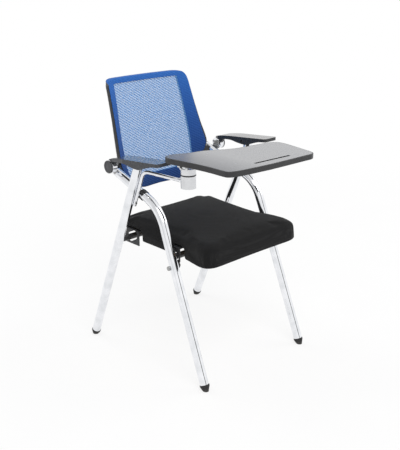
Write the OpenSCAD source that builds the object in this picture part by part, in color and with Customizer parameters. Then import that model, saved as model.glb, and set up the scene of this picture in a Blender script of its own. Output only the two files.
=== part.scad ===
// Folding school chair with an upholstered seat, a mesh back and a swivelling writing tablet.
// The sitter faces -Y, the sitter's right is -X, and the floor is at z = 0.
// Each side frame is a crossed pair of tubes: the bent front leg carries the back and the
// armrest pivot, and the straight rear leg hangs from the armrest and passes under the seat.

/* [Frame] */
// Outside diameter of the leg tubes
leg_d = 28; // [25:0.5:30]
// Wall of the leg tubes
leg_wall = 1.5; // [1:0.1:2.5]
// Distance between the front and rear feet, along the floor
foot_spread = 533; // [480:1:560]
// Distance between the axes of the two rear legs
rear_track = 475; // [440:1:520]
// Side clearance between the crossing legs
leg_gap = 1.2; // [0.8:0.1:3]
// Radius of the bend in the front leg
bend_r = 120; // [90:1:130]
// Height of the corner that the front leg bends round
corner_z = 523.2; // [500:1:540]
// Diameter of the tubes that join the legs across the chair
cross_d = 19; // [16:0.5:20]
// Height of a rubber glide along its leg
glide_h = 20; // [16:1:26]

/* [Linkage] */
// Place of the armrest pivot from front to rear
arm_pivot_y = 189.4; // [185:0.2:194]
// Height of the armrest pivot over the axis of the front leg
arm_pivot_rise = 24; // [21:0.5:27]
// Height of the pivot between the armrest and the rear leg
rear_pivot_z = 652; // [650:0.5:653]
// Height of the cross tube of the rear legs
rear_cross_z = 387; // [384:0.5:389]
// Height of the seat pivot
seat_pivot_z = 354; // [350:0.5:357]
// Distance of the seat pivot behind the axis of the front leg
seat_pivot_back = 8; // [5:0.5:9]
// Diameter of the pivot pins
pin_d = 8; // [6:0.5:9]

/* [Seat] */
// Length of the cushion from front to rear
seat_l = 417; // [390:1:430]
// Place of the front edge of the cushion
seat_front_y = -200.6; // [-212:0.2:-193]
// Height of the lower edge of the cushion
seat_z = 377; // [375:0.5:379]
// Thickness of the cushion at its sides
seat_side_h = 66; // [60:1:75]
// Rise of the crown over the sides
seat_crown = 15; // [8:1:22]
// Radius of the front corners
seat_front_r = 52; // [40:1:60]
// Radius of the rear corners
seat_rear_r = 26; // [20:1:40]
// How far the sides are drawn in between the corners
seat_draw = 3; // [0:0.5:6]
// Thickness of the seat board
board_t = 10; // [8:0.5:12]

/* [Back] */
// Height of the top of the back over the floor
back_top_z = 863; // [840:1:880]
// Height of the bottom of the back over the floor
back_bottom_z = 513; // [505:1:520]
// Depth of the hollow of the back at mid height
back_hollow = 44; // [30:1:48]
// Thickness of the plastic back frame
back_frame_t = 14; // [10:0.5:16]
// Thickness of the mesh sheet
mesh_t = 2.4; // [2:0.1:3]

/* [Armrests] */
// Width of an armrest
arm_w = 56.5; // [54:0.5:60]
// Thickness of the wall outside the rear leg
arm_wall = 2.6; // [2:0.1:4]
// Diameter of the round boss at the armrest pivot
arm_boss_d = 39; // [36:0.5:41]
// Thickness of the cap on that boss
arm_cap_t = 11; // [8:0.5:12]

/* [Tablet] */
// Height of the writing surface
tablet_z = 698; // [696:0.5:702]
// Thickness of the tablet
tablet_t = 16; // [14:0.5:18]
// Size of the tablet across the chair
tablet_w = 398; // [370:1:410]
// Size of the tablet from front to rear
tablet_l = 270; // [255:1:285]
// Width of the edge moulding
edge_w = 3; // [2:0.5:4]
// Diameter of the swivel barrel
barrel_d = 49; // [44:1:52]
// Diameter of the rod that carries the barrel
rod_d = 11; // [10:0.5:12]
// Width of the pen groove
groove_w = 8; // [6:0.5:10]

/* [Hidden] */

// Fits
overrun = 1;
running_fit = 0.05;
side_gap = 0.3;
quarter = 90;
$fn = 64;

// Lean of both legs: run from front to rear for each unit of height
lean_share = 0.405;
lean = atan(lean_share);
// Rise of the upper part of the front leg for each unit of run
upper_share = 0.355;
// Splay of the front legs: narrowing of the frame for each unit of height
splay_share = 0.0163;
splay = atan(splay_share);

leg_r = leg_d / 2;
bore_d = leg_d - leg_wall - leg_wall;
plug_d = bore_d - running_fit - running_fit;
// The feet stand this far in front of and behind the origin
foot_shift = 44.4;
front_foot_y = foot_shift - foot_spread / 2;
rear_foot_y = foot_shift + foot_spread / 2;
rear_x = rear_track / 2;
// Height at which the legs cross, where the front leg passes just inside the rear leg
crossing_z = 557;
crossing_x = rear_x - leg_d - leg_gap;

function front_y(z) = front_foot_y + lean_share * z;
function rear_y(z) = rear_foot_y - lean_share * z;
function front_x(z) = crossing_x + splay_share * (crossing_z - z);
corner_y = front_y(corner_z);
function upper_z(y) = corner_z + upper_share * (y - corner_y);

arm_pivot = [arm_pivot_y, upper_z(arm_pivot_y) + arm_pivot_rise];
rear_pivot = [rear_y(rear_pivot_z), rear_pivot_z];
rear_cross = [rear_y(rear_cross_z), rear_cross_z];
seat_pivot = [front_y(seat_pivot_z) + seat_pivot_back, seat_pivot_z];

// Front cross tube, hidden in the hollow of the seat
front_cross_z = 384;
front_cross = [front_y(front_cross_z), front_cross_z];

// Upper end of the front leg, behind the cap of the armrest
upper_reach = 35;
upper_end_y = arm_pivot_y + upper_reach;
end_plug_t = 3;

// Ear on the front leg for the armrest pivot
ear_t = 3;
ear_r = 11;
ear_x = rear_x - leg_r - leg_gap - side_gap + ear_t / 5;
boss_x = rear_x - leg_r - leg_gap + side_gap + ear_t / 5;

// A side profile, drawn as [y, z], stands from x to x + t
module side(x, t) {
    translate([x, 0, 0]) rotate([90, 0, 90]) linear_extrude(t) children();
}

// A bar along X through a point of the side plane
module across(at, x, t, d) {
    side(x, t) translate(at) circle(d = d);
}

// The same thing on both sides of the chair; side 1 is the sitter's left
module both_sides() {
    for (s = [0, 1]) mirror([s, 0, 0]) children();
}

// Local frame of a leg: z runs up the leg's axis from the floor
module on_front_leg(z = 0) {
    translate([front_x(z), front_y(z), z]) rotate([-lean, 0, 0]) rotate([0, -splay, 0]) children();
}

module on_rear_leg(z = 0) {
    translate([rear_x, rear_y(z), z]) rotate([lean, 0, 0]) children();
}

// Front leg: lower run, bend and upper run in one plane
lower_dir = [sin(lean), cos(lean)];
upper_lean = atan(upper_share);
upper_dir = [cos(upper_lean), sin(upper_lean)];
bend_angle = 90 - lean - upper_lean;
bend_run = bend_r * tan(bend_angle / 2);
corner = [corner_y, corner_z];
bend_in = corner - bend_run * lower_dir;
bend_out = corner + bend_run * upper_dir;
bend_centre = bend_in + bend_r * [lower_dir[1], -lower_dir[0]];
lower_start = [front_foot_y, 0] + glide_h * lower_dir;
upper_end = [upper_end_y, upper_z(upper_end_y)];

module run(a, b, d, extra = 0) {
    step = b - a;
    translate([0, a[0], a[1]]) rotate([-atan2(step[0], step[1]), 0, 0])
        translate([0, 0, -extra]) cylinder(d = d, h = norm(step) + extra + extra);
}

// The runs are drawn from the two ends of the bend, in the bend's own frame. The lower run laps
// into the bend, and is a trace thinner so that the two meet in a clean edge.
bend_lap = 0.5;
bend_step = 0.02;
module leg_path(d, extra = 0) {
    translate([0, bend_centre[0], bend_centre[1]]) rotate([90, 0, 90]) rotate([0, 0, 90 + upper_lean]) {
        translate([bend_r, 0, 0]) rotate([90, 0, 0])
            cylinder(d = d, h = norm(upper_end - bend_out) + extra);
        rotate_extrude(angle = bend_angle) translate([bend_r, 0]) circle(d = d);
        rotate([0, 0, bend_angle]) translate([bend_r, -bend_lap, 0]) rotate([-90, 0, 0])
            cylinder(d = d - bend_step, h = norm(bend_in - lower_start) + bend_lap + extra);
    }
}

module splayed() {
    translate([front_x(0), 0, 0]) rotate([0, -splay, 0]) children();
}

ear_steps = 10;
ear_foot_r = ear_r + ear_t;
function turned(v, a) = [v[0] * cos(a) - v[1] * sin(a), v[0] * sin(a) + v[1] * cos(a)];
module ear_profile() {
    difference() {
        polygon(concat(arc_points(arm_pivot, ear_r, 0, 180, ear_steps),
            [arm_pivot + turned([-ear_foot_r, -arm_pivot_rise], upper_lean),
             arm_pivot + turned([ear_foot_r, -arm_pivot_rise], upper_lean)]));
        translate(arm_pivot) circle(d = pin_d);
    }
}

module front_leg() {
    color("silver") {
        difference() {
            splayed() leg_path(leg_d);
            splayed() leg_path(bore_d, overrun);
            across(seat_pivot, 0, rear_x, pin_d);
            across(lug_bolt, back_half_w, leg_r, screw_d);
        }
        side(ear_x - ear_t, ear_t) ear_profile();
    }
}

module front_leg_left() { front_leg(); }
module front_leg_right() { mirror([1, 0, 0]) front_leg(); }

// Rubber glide: a rounded cone on a spigot, cut level with the floor
glide_r = leg_r + 0.6 * leg_wall;
glide_tip_r = leg_r * 0.62;
glide_round = leg_r * 0.3;
spigot_l = leg_d;
module glide() {
    rotate_extrude() {
        polygon(concat(
            [[0, glide_h + spigot_l], [plug_d / 2, glide_h + spigot_l], [plug_d / 2, glide_h],
             [glide_r, glide_h], [glide_r, glide_h * 0.72]],
            [for (a = [0 : 15 : 75]) [glide_tip_r - glide_round + glide_round * cos(a),
                -glide_round * sin(a) - glide_round * 0.2]],
            [[0, -glide_round - glide_round * 0.2]]));
    }
}

module above_floor() {
    intersection() {
        children();
        translate([-rear_track, -foot_spread, 0]) cube([rear_track + rear_track,
            foot_spread + foot_spread, back_top_z]);
    }
}

module front_glide() { color("#1c1c1e") above_floor() on_front_leg() glide(); }
module front_glide_left() { front_glide(); }
module front_glide_right() { mirror([1, 0, 0]) front_glide(); }
module rear_glide() { color("#1c1c1e") above_floor() on_rear_leg() glide(); }
module rear_glide_left() { rear_glide(); }
module rear_glide_right() { mirror([1, 0, 0]) rear_glide(); }

// Tube across the chair between the front legs, coped to them
module front_cross_tube() {
    color("#242426") difference() {
        across(front_cross, -rear_x, rear_track, cross_d);
        across(front_cross, -rear_x - overrun, rear_track + 2 * overrun, cross_d - 2 * leg_wall);
        both_sides() translate([front_x(front_cross_z) - leg_r / 2, front_cross[0] - leg_d,
            front_cross_z - leg_d]) cube([leg_d + leg_d, leg_d + leg_d, leg_d + leg_d]);
        both_sides() on_front_leg(front_cross_z) translate([0, 0, -leg_d])
            cylinder(d = leg_d + 2 * running_fit, h = leg_d + leg_d);
    }
}

// Plastic plugs in the open upper ends of the front legs
module frame_end_plugs() {
    color("#1c1c1e") both_sides() splayed() {
        run(upper_end, upper_end + end_plug_t * upper_dir, leg_d);
        run(upper_end - leg_r * upper_dir, upper_end, plug_d);
    }
}

// Plastic clip round the front leg, just ahead of the crossing. It is cut flat on the outside, where
// the rod of the tablet passes, so it is open there.
clip_w = 17;
clip_t = 2;
clip_ahead = 22;
clip_open = 0.4;
crossing_y = (rear_foot_y - lean_share * (corner_z - upper_share * corner_y))
    / (1 + lean_share * upper_share);
clip_mid = [crossing_y - clip_ahead, upper_z(crossing_y - clip_ahead)];
module stop_clips() {
    color("#18181a") both_sides() splayed() difference() {
        run(clip_mid - clip_w / 2 * upper_dir, clip_mid + clip_w / 2 * upper_dir, leg_d + clip_t + clip_t);
        run(clip_mid - clip_w / 2 * upper_dir, clip_mid + clip_w / 2 * upper_dir,
            leg_d + running_fit + running_fit, overrun);
        side(leg_r - clip_open, leg_r) translate(clip_mid) circle(r = leg_d);
    }
}

// Rear leg
tube_end_run = 8;
tongue_r = 9;
module rod_hole() {
    translate([rod_bolt_x, rear_y(rod_bolt_z), rod_bolt_z]) rotate([lean, 0, 0])
        rotate([90, 0, 0]) translate([0, 0, -leg_d]) cylinder(d = rod_bolt_d, h = leg_d + leg_d + rod_d);
}

module rear_tube() {
    leg_l = (rear_pivot_z / cos(lean)) - tube_end_run;
    difference() {
        on_rear_leg() translate([0, 0, glide_h]) cylinder(d = leg_d, h = leg_l - glide_h);
        on_rear_leg() cylinder(d = bore_d, h = leg_l + overrun);
    }
}

module rear_leg_left() { color("silver") rear_tube(); }
module rear_leg_right() {
    color("silver") difference() {
        mirror([1, 0, 0]) rear_tube();
        rod_hole();
    }
}

// Tongue in the upper end of each rear leg, with the eye for the armrest pin
module rear_leg_eyes() {
    color("#2a2a2c") both_sides() difference() {
        union() {
            on_rear_leg(rear_pivot_z) translate([0, 0, -leg_d - tube_end_run])
                cylinder(d = plug_d, h = leg_d);
            on_rear_leg(rear_pivot_z) translate([0, 0, -leg_r]) cylinder(r = tongue_r, h = leg_r);
            on_rear_leg(rear_pivot_z) sphere(r = tongue_r);
        }
        across(rear_pivot, rear_x - leg_r, leg_d, pin_d + 2 * running_fit);
    }
}

module rear_cross_tube() {
    color("#242426") difference() {
        across(rear_cross, -rear_x, rear_track, cross_d);
        across(rear_cross, -rear_x - overrun, rear_track + 2 * overrun, cross_d - 2 * leg_wall);
        both_sides() translate([rear_x - leg_r / 2, rear_cross[0] - leg_d, rear_cross_z - leg_d])
            cube([leg_d + leg_d, leg_d + leg_d, leg_d + leg_d]);
        both_sides() on_rear_leg(rear_cross_z) translate([0, 0, -leg_d])
            cylinder(d = leg_d + 2 * running_fit, h = leg_d + leg_d);
    }
}

// Pivots of the armrests and the seat
pin_head_r = 7;
pin_head_t = 3;
boss_t = 11.2;
module arm_pivot_pins() {
    color("gray") both_sides() {
        across(arm_pivot, ear_x - ear_t - pin_head_t, pin_head_t, pin_head_r * 2);
        across(arm_pivot, ear_x - ear_t, boss_x + boss_t - side_gap - ear_x + ear_t, pin_d - running_fit);
    }
}

ear_plate_t = 3;
ear_plate_gap = 3.4;
// Inner face of the front leg at the seat
seat_ear_x = front_x(seat_z + seat_side_h) - leg_r - ear_plate_gap / 2;
pivot_outer_x = front_x(seat_pivot_z) + leg_r;
module seat_pivot_bolts() {
    color("gray") both_sides() {
        across(seat_pivot, pivot_outer_x, pin_head_t + overrun, pin_head_r * 2);
        across(seat_pivot, seat_ear_x - ear_plate_t - side_gap - pin_head_t,
            pivot_outer_x - seat_ear_x + ear_plate_t + side_gap + pin_head_t, pin_d - running_fit);
        across(seat_pivot, seat_ear_x - ear_plate_t - side_gap - pin_head_t - pin_head_t,
            pin_head_t + pin_head_t - running_fit, pin_head_r * 1.7);
    }
}

// Armrest
arm_front_y = -58.1;
arm_pocket_gap = 1;
arm_outer_x = rear_x + leg_r + arm_pocket_gap + arm_wall;
arm_inner_x = arm_outer_x - arm_w;
arm_belly_h = 23.5;
arm_rear_y = 176;
arm_tip_y = 182;
// Stations from the front end to the pivot, as shares of the armrest's length, with the heights
// of the upper and lower edges as shares of the belly's height over the rear pivot
arm_l = arm_pivot_y - arm_front_y;
module arm_side() {
    top_share = [[0, 1.02], [0.23, 0.79], [0.42, 0.61], [0.61, 0.43], [0.75, 0.255], [0.87, 0.04],
        [1, -0.42]];
    low_share = [[0.9, -0.53], [0.86, -0.47], [0.75, -0.255], [0.625, -0.17], [0.525, -0.31],
        [0.425, -0.404], [0.345, -0.383], [0.265, -0.085], [0.185, 0.21], [0.1, 0.447], [0, 0.574]];
    polygon(concat([for (p = smooth(top_share, soft_steps)) arm_point(p)],
        [for (p = smooth(low_share, soft_steps)) arm_point(p)]));
}
// Round boss and the neck that joins it to the armrest
module arm_boss() {
    boss_r = arm_boss_d / 2;
    translate(arm_pivot) circle(r = boss_r);
    polygon([arm_point([0.86, -0.2]), arm_point([1, -0.42]), arm_pivot + boss_r * [cos(25), sin(25)],
        arm_pivot + boss_r * [cos(170), sin(170)], arm_point([0.86, -0.47])]);
}
function arm_point(p) = [arm_front_y + arm_l * p[0], rear_pivot_z + arm_belly_h * p[1]];

// Smooth curve through a list of points
soft_steps = 4;
function curve_at(a, b, c, d, t) = 0.5 * ((2 * b) + (c - a) * t + (2 * a - 5 * b + 4 * c - d) * t * t
    + (3 * b - a - 3 * c + d) * t * t * t);
function smooth(pts, steps) = let (last = len(pts) - 1) concat(
    [for (i = [0 : last - 1]) for (k = [0 : steps - 1])
        curve_at(pts[max(i - 1, 0)], pts[i], pts[i + 1], pts[min(i + 2, last)], k / steps)],
    [pts[last]]);
function smooth_loop(pts, steps) = let (n = len(pts))
    [for (i = [0 : n - 1]) for (k = [0 : steps - 1])
        curve_at(pts[(i + n - 1) % n], pts[i], pts[(i + 1) % n], pts[(i + 2) % n], k / steps)];

arm_corner_r = 9;
module arm_plan() {
    r = arm_corner_r;
    rear_outer_x = boss_x + boss_t + arm_cap_t;
    polygon(concat(
        arc_points([arm_inner_x + r, arm_front_y + r], r, 180, 270, soft_steps),
        arc_points([arm_outer_x - r, arm_front_y + r], r, 270, 360, soft_steps),
        [[arm_outer_x, rear_pivot[0] + leg_d + leg_d], [rear_outer_x, arm_rear_y - r],
            [rear_outer_x, arm_tip_y], [boss_x, arm_tip_y], [boss_x, arm_rear_y],
            [arm_inner_x + r, arm_rear_y], [arm_inner_x, arm_rear_y - r - r]]));
}

pocket_front = 16;
pocket_rear = 43;
pocket_roof = 9.5;
module armrest() {
    color("#4a4b4f") difference() {
        union() {
            intersection() {
                side(arm_inner_x, arm_w) arm_side();
                translate([0, 0, arm_pivot[1] - arm_boss_d]) linear_extrude(arm_boss_d * 3) arm_plan();
            }
            side(boss_x, boss_t) arm_boss();
        }
        translate([rear_x - leg_r - arm_pocket_gap, rear_pivot[0] - pocket_front, arm_pivot[1]])
            cube([leg_d + 2 * arm_pocket_gap, pocket_front + pocket_rear,
                rear_pivot_z + pocket_roof - arm_pivot[1]]);
        side(boss_x + boss_t, arm_cap_t + overrun) translate(arm_pivot)
            circle(d = arm_boss_d + 2 * side_gap);
        across(arm_pivot, boss_x - overrun, boss_t + arm_cap_t, pin_d + running_fit);
        across(rear_pivot, arm_inner_x - overrun, arm_w - arm_wall / 2 + overrun, pin_d);
    }
}
module armrest_left() { armrest(); }
module armrest_right() { mirror([1, 0, 0]) armrest(); }

// Domed cap over the armrest pivot
module arm_cap() {
    dome = arm_cap_t * 0.25;
    color("#5a5b5f") translate([boss_x + boss_t, arm_pivot[0], arm_pivot[1]]) rotate([0, 90, 0])
        rotate_extrude() polygon([[0, 0], [arm_boss_d / 2, 0], [arm_boss_d / 2, arm_cap_t - dome],
            [arm_boss_d / 2 - dome * 0.4, arm_cap_t - dome * 0.4],
            [arm_boss_d / 2 - dome, arm_cap_t - dome * 0.1],
            [arm_boss_d / 4, arm_cap_t], [0, arm_cap_t]]);
}
module arm_cap_left() { arm_cap(); }
module arm_cap_right() { mirror([1, 0, 0]) arm_cap(); }

module arm_pin() {
    color("gray") across(rear_pivot, arm_inner_x + arm_wall, arm_w - arm_wall - arm_wall / 2 - side_gap,
        pin_d - running_fit);
}
module arm_pin_left() { arm_pin(); }
module arm_pin_right() { mirror([1, 0, 0]) arm_pin(); }

// Back: a hollow surface that leans back, with y worked out at each place
back_mid_z = 630;
back_mid_y = 253.4;
back_lean_share = 0.226;
back_flatten_share = 0.1304;
back_half_w = front_x(back_mid_z) - leg_r - ear_plate_gap;
function back_y(x, z) = back_mid_y + back_lean_share * (z - back_mid_z)
    - (back_hollow - back_flatten_share * (z - back_mid_z)) * pow(x / back_half_w, 2);

// Half outlines of the back and of its window, as shares of the half width and of the height
back_h = back_top_z - back_bottom_z;
back_outline_share = [[0, 1], [0.42, 1], [0.8, 0.997], [0.885, 0.975], [0.912, 0.93], [0.937, 0.83],
    [0.965, 0.67], [0.988, 0.5], [1, 0.37], [0.985, 0.325], [0.9, 0.225], [0.735, 0.11],
    [0.57, 0.04], [0.4, 0.003], [0, 0]];
back_window_share = [[0, 0.955], [0.34, 0.955], [0.62, 0.953], [0.68, 0.94], [0.7, 0.9], [0.72, 0.81],
    [0.74, 0.66], [0.757, 0.5], [0.765, 0.375], [0.762, 0.3], [0.745, 0.2], [0.69, 0.145],
    [0.55, 0.125], [0.36, 0.115], [0, 0.11]];
function back_place(p) = [back_half_w * p[0], back_bottom_z + back_h * p[1]];
function mirrored(pts) = concat(pts, [for (i = [len(pts) - 2 : -1 : 1]) [-pts[i][0], pts[i][1]]]);
back_steps = 2;
back_outline = [for (p = mirrored(smooth(back_outline_share, back_steps))) back_place(p)];
back_window = [for (p = mirrored(smooth(back_window_share, back_steps))) back_place(p)];
back_middle = back_place([0, 0.5]);

function on_back(p, depth) = [p[0], back_y(p[0], p[1]) + depth, p[1]];
function between(a, b, share) = a + (b - a) * share;

// Skin of quads over rings of equal length, each ring one loop round the form
function ring_faces(rings, n, closed) = [for (r = [0 : rings - (closed ? 1 : 2)]) for (k = [0 : n - 1])
    let (q = (r + 1) % rings, m = (k + 1) % n) each [[r * n + k, q * n + k, q * n + m],
        [r * n + k, q * n + m, r * n + m]]];

// Moulded ring behind the mesh, thicker towards its middle
mesh_gap = 0.6;
module back_ring() {
    count = len(back_outline);
    // Across the ring: share from the outline to the window, and share of the depth; the steps in
    // its front face follow the hollow, so that it stays clear of the mesh
    section_share = [[0, 0.45], [0.15, 0.85], [0.5, 1], [0.85, 0.85], [1, 0.5], [1, 0.1], [0.94, 0],
        [0.66, 0], [0.34, 0], [0.06, 0], [0, 0.1]];
    points = [for (s = section_share) for (k = [0 : count - 1]) on_back(
        between(back_outline[k], back_window[k], s[0]), mesh_t / 2 + mesh_gap + back_frame_t * s[1])];
    polyhedron(points, ring_faces(len(section_share), count, true), convexity = 8);
}

// Lugs that carry the ring's edge on to the inner faces of the front legs
lug_share = 0.243;
lug_z = back_bottom_z + lug_share * back_h;
lug_t = 12;
lug_h = 26;
lug_l = 24;
// The lug is flat, so it stands a little behind the hollow of the mesh
lug_depth = mesh_t / 2 + mesh_gap + 1;
lug_end_x = front_x(lug_z) - leg_r - side_gap;
lug_x = lug_end_x - lug_t + side_gap;
lug_bolt = [back_y(lug_x, lug_z) + lug_depth + lug_t / 4, lug_z];
lug_bolt_l = lug_t + lug_t / 2;
screw_d = 5;
module back_lugs() {
    ends = [[lug_end_x - lug_l, -1], [lug_end_x, -1], [lug_end_x, 1], [lug_end_x - lug_l, 1]];
    points = [for (depth = [lug_depth, lug_depth + lug_t]) for (e = ends)
        on_back([e[0], lug_z + e[1] * lug_h / 2], depth)];
    both_sides() difference() {
        polyhedron(points, [[0, 2, 1], [0, 3, 2], [4, 5, 6], [4, 6, 7], [0, 1, 5], [0, 5, 4], [1, 2, 6],
            [1, 6, 5], [2, 3, 7], [2, 7, 6], [3, 0, 4], [3, 4, 7]]);
        across(lug_bolt, lug_x - side_gap, lug_l, screw_d);
    }
}
module back_frame() {
    color("#1e1f22") {
        back_ring();
        back_lugs();
    }
}

module back_mesh() {
    count = len(back_outline);
    scale_share = [1, 0.84, 0.62, 0.36, 0.12];
    inner = len(scale_share);
    rear = [for (s = scale_share) for (p = back_outline) on_back(between(back_middle, p, s), mesh_t / 2)];
    front = [for (i = [inner - 1 : -1 : 0]) for (p = back_outline)
        on_back(between(back_middle, p, scale_share[i]), -mesh_t / 2)];
    centre = [on_back(back_middle, mesh_t / 2), on_back(back_middle, -mesh_t / 2)];
    base = 2 * inner * count;
    color("#7ea2d6") polyhedron(concat(rear, front, centre), concat(
        [for (r = [0 : inner - 2]) for (k = [0 : count - 1]) each quad(r, k, count)],
        [for (r = [inner : 2 * inner - 2]) for (k = [0 : count - 1]) each quad(r, k, count)],
        [for (k = [0 : count - 1]) let (m = (k + 1) % count)
            [(inner - 1) * count + k, base, (inner - 1) * count + m]],
        [for (k = [0 : count - 1]) let (m = (k + 1) % count)
            [inner * count + m, base + 1, inner * count + k]],
        [for (k = [0 : count - 1]) let (m = (k + 1) % count, o = (2 * inner - 1) * count)
            each [[o + k, k, m], [o + k, m, o + m]]]), convexity = 8);
}
function quad(r, k, n) = let (m = (k + 1) % n)
    [[r * n + k, (r + 1) * n + k, (r + 1) * n + m], [r * n + k, (r + 1) * n + m, r * n + m]];

module back_screws() {
    color("gray") both_sides()
        across(lug_bolt, lug_x, lug_bolt_l, screw_d - running_fit);
}

// Tablet support: the rod runs up the front of the rear leg, bends under the armrest and enters
// the sleeve of the swivel barrel
rod_x = -(rear_x - leg_r + leg_d * 0.175);
rod_ahead = leg_r + rod_d / 2 - leg_d * 0.072;
rod_low_z = 516;
rod_bend_z = 633;
rod_bend_r = 24;
rod_bolt_x = rod_x - rod_d * 0.22;
rod_bolt_z = 534;
rod_bolt_d = 4;
barrel_x = -185;
barrel_y = -112.6;
sleeve_low_z = 602;
sleeve_h = 32;
ring_t = 4;
barrel_top_z = 664;
rod_end_z = 622;
rod_depth = 8;

function rod_y(z) = rear_y(z) - rod_ahead / cos(lean);
rod_low = [rod_x, rod_y(rod_low_z), rod_low_z];
rod_corner = [rod_x, rod_y(rod_bend_z), rod_bend_z];
rod_aim = [barrel_x, barrel_y, rod_end_z];
rod_dir = (rod_aim - rod_corner) / norm(rod_aim - rod_corner);
rod_up = (rod_corner - rod_low) / norm(rod_corner - rod_low);
rod_end = rod_aim - (barrel_d / 2 - rod_depth) * rod_dir;
rod_turn = acos(rod_up * rod_dir);
rod_bend_run = rod_bend_r * tan(rod_turn / 2);
rod_side = (rod_dir - (rod_dir * rod_up) * rod_up) / norm(rod_dir - (rod_dir * rod_up) * rod_up);
rod_centre = rod_corner - rod_bend_run * rod_up + rod_bend_r * rod_side;
rod_steps = 8;
rod_sides = 16;
rod_route = concat([rod_low],
    [for (k = [0 : rod_steps]) let (a = rod_turn * k / rod_steps)
        rod_centre - rod_bend_r * cos(a) * rod_side + rod_bend_r * sin(a) * rod_up],
    [rod_end]);
function way(k) = let (a = rod_route[max(k - 1, 0)], b = rod_route[min(k + 1, len(rod_route) - 1)])
    (b - a) / norm(b - a);
// The rod lies in one plane, whose normal gives every ring the same second axis
rod_normal = cross(rod_up, rod_side);
module rod_body() {
    n = len(rod_route);
    r = rod_d / 2;
    points = [for (k = [0 : n - 1]) for (j = [0 : rod_sides - 1]) let (a = 360 * j / rod_sides)
        rod_route[k] + r * cos(a) * rod_normal + r * sin(a) * cross(way(k), rod_normal)];
    polyhedron(points, concat(ring_faces(n, rod_sides, false),
        [[for (j = [0 : rod_sides - 1]) j]],
        [[for (j = [rod_sides - 1 : -1 : 0]) (n - 1) * rod_sides + j]]), convexity = 6);
}
module tablet_rod() {
    color("silver") difference() {
        rod_body();
        rod_hole();
    }
}
module rod_bolt() {
    reach = rod_ahead + rod_d / 2;
    color("gray") translate([rod_bolt_x, rear_y(rod_bolt_z), rod_bolt_z]) rotate([lean, 0, 0])
        rotate([90, 0, 0]) {
            cylinder(d = rod_bolt_d - running_fit, h = reach + running_fit);
            translate([0, 0, reach]) cylinder(d = rod_bolt_d * 1.7, h = rod_bolt_d * 0.6);
        }
}

module at_barrel(z) { translate([barrel_x, barrel_y, z]) children(); }
shaft_d = 20;
shaft_depth = 24;
barrel_cup = 12;
module swivel_sleeve() {
    color("silver") difference() {
        at_barrel(sleeve_low_z) cylinder(d = barrel_d, h = sleeve_h);
        at_barrel(sleeve_low_z + sleeve_h - shaft_depth)
            cylinder(d = shaft_d + 2 * running_fit, h = sleeve_h);
        translate(rod_aim) rotate([0, acos(-rod_dir[2]), atan2(-rod_dir[1], -rod_dir[0])])
            translate([0, 0, barrel_d / 2 - rod_depth]) cylinder(d = rod_d + 2 * running_fit, h = barrel_d);
    }
}
ring_z = sleeve_low_z + sleeve_h + side_gap / 2;
module swivel_ring() {
    color("#18181a") at_barrel(ring_z) difference() {
        cylinder(d = barrel_d + overrun, h = ring_t);
        translate([0, 0, -overrun]) cylinder(d = shaft_d + 2 * running_fit, h = ring_t + 2 * overrun);
    }
}
barrel_low_z = ring_z + ring_t;

// Hinge under the tablet, with its axis from front to rear
hinge_x = -207.5;
hinge_z = 672;
knuckle_r = 5.5;
knuckle_w = 10;
hinge_pin_d = 5;
leaf_t = 3;
leaf_l = 60;
leaf_w = 52;
module knuckle(y, w, hole) {
    translate([hinge_x, y + w, hinge_z]) rotate([90, 0, 0]) difference() {
        cylinder(r = knuckle_r, h = w);
        translate([0, 0, -overrun]) cylinder(d = hole, h = w + 2 * overrun);
    }
}
module swivel_barrel() {
    color("silver") difference() {
        union() {
            at_barrel(barrel_low_z) cylinder(d = barrel_d, h = barrel_top_z - barrel_low_z);
            for (y = [barrel_y - knuckle_w * 1.5 - side_gap, barrel_y + knuckle_w / 2 + side_gap]) {
                knuckle(y, knuckle_w, hinge_pin_d);
                translate([hinge_x + knuckle_r * 0.2, y, barrel_top_z - ring_t])
                    cube([knuckle_r * 2, knuckle_w, ring_t + knuckle_r * 0.6]);
            }
        }
        at_barrel(barrel_low_z - overrun) cylinder(d = shaft_d + running_fit, h = barrel_cup + overrun);
        translate([hinge_x, barrel_y + barrel_d / 2, hinge_z]) rotate([90, 0, 0])
            cylinder(d = hinge_pin_d, h = barrel_d);
        translate([hinge_x, barrel_y + knuckle_w / 2 + side_gap, hinge_z]) rotate([90, 0, 0])
            cylinder(r = knuckle_r + 2 * side_gap, h = knuckle_w + 2 * side_gap);
    }
}
module swivel_shaft() {
    color("gray") at_barrel(sleeve_low_z + sleeve_h - shaft_depth + side_gap)
        cylinder(d = shaft_d, h = shaft_depth - side_gap + barrel_low_z - sleeve_low_z - sleeve_h
            + barrel_cup - side_gap);
}
module tablet_hinge_pin() {
    color("gray") translate([hinge_x, barrel_y + knuckle_w * 1.5 + side_gap, hinge_z]) rotate([90, 0, 0])
        cylinder(d = hinge_pin_d - running_fit, h = knuckle_w * 3 + 2 * side_gap);
}
tablet_low_z = tablet_z - tablet_t;
module tablet_hinge_leaf() {
    color("#2a2a2c") {
        difference() {
            union() {
                translate([hinge_x - knuckle_r, barrel_y - leaf_w / 2, tablet_low_z - leaf_t])
                    cube([leaf_l, leaf_w, leaf_t]);
                translate([hinge_x - knuckle_r, barrel_y - knuckle_w / 2, hinge_z])
                    cube([knuckle_r * 2, knuckle_w, tablet_low_z - leaf_t - hinge_z]);
                knuckle(barrel_y - knuckle_w / 2, knuckle_w, hinge_pin_d + 2 * running_fit);
            }
            translate([hinge_x, barrel_y + knuckle_w, hinge_z]) rotate([90, 0, 0])
                cylinder(d = hinge_pin_d + 2 * running_fit, h = knuckle_w * 2);
            for (p = leaf_screw_places) translate([p[0], p[1], tablet_low_z - leaf_t - overrun])
                cylinder(d = screw_d, h = leaf_t + 2 * overrun);
        }
    }
}
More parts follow.
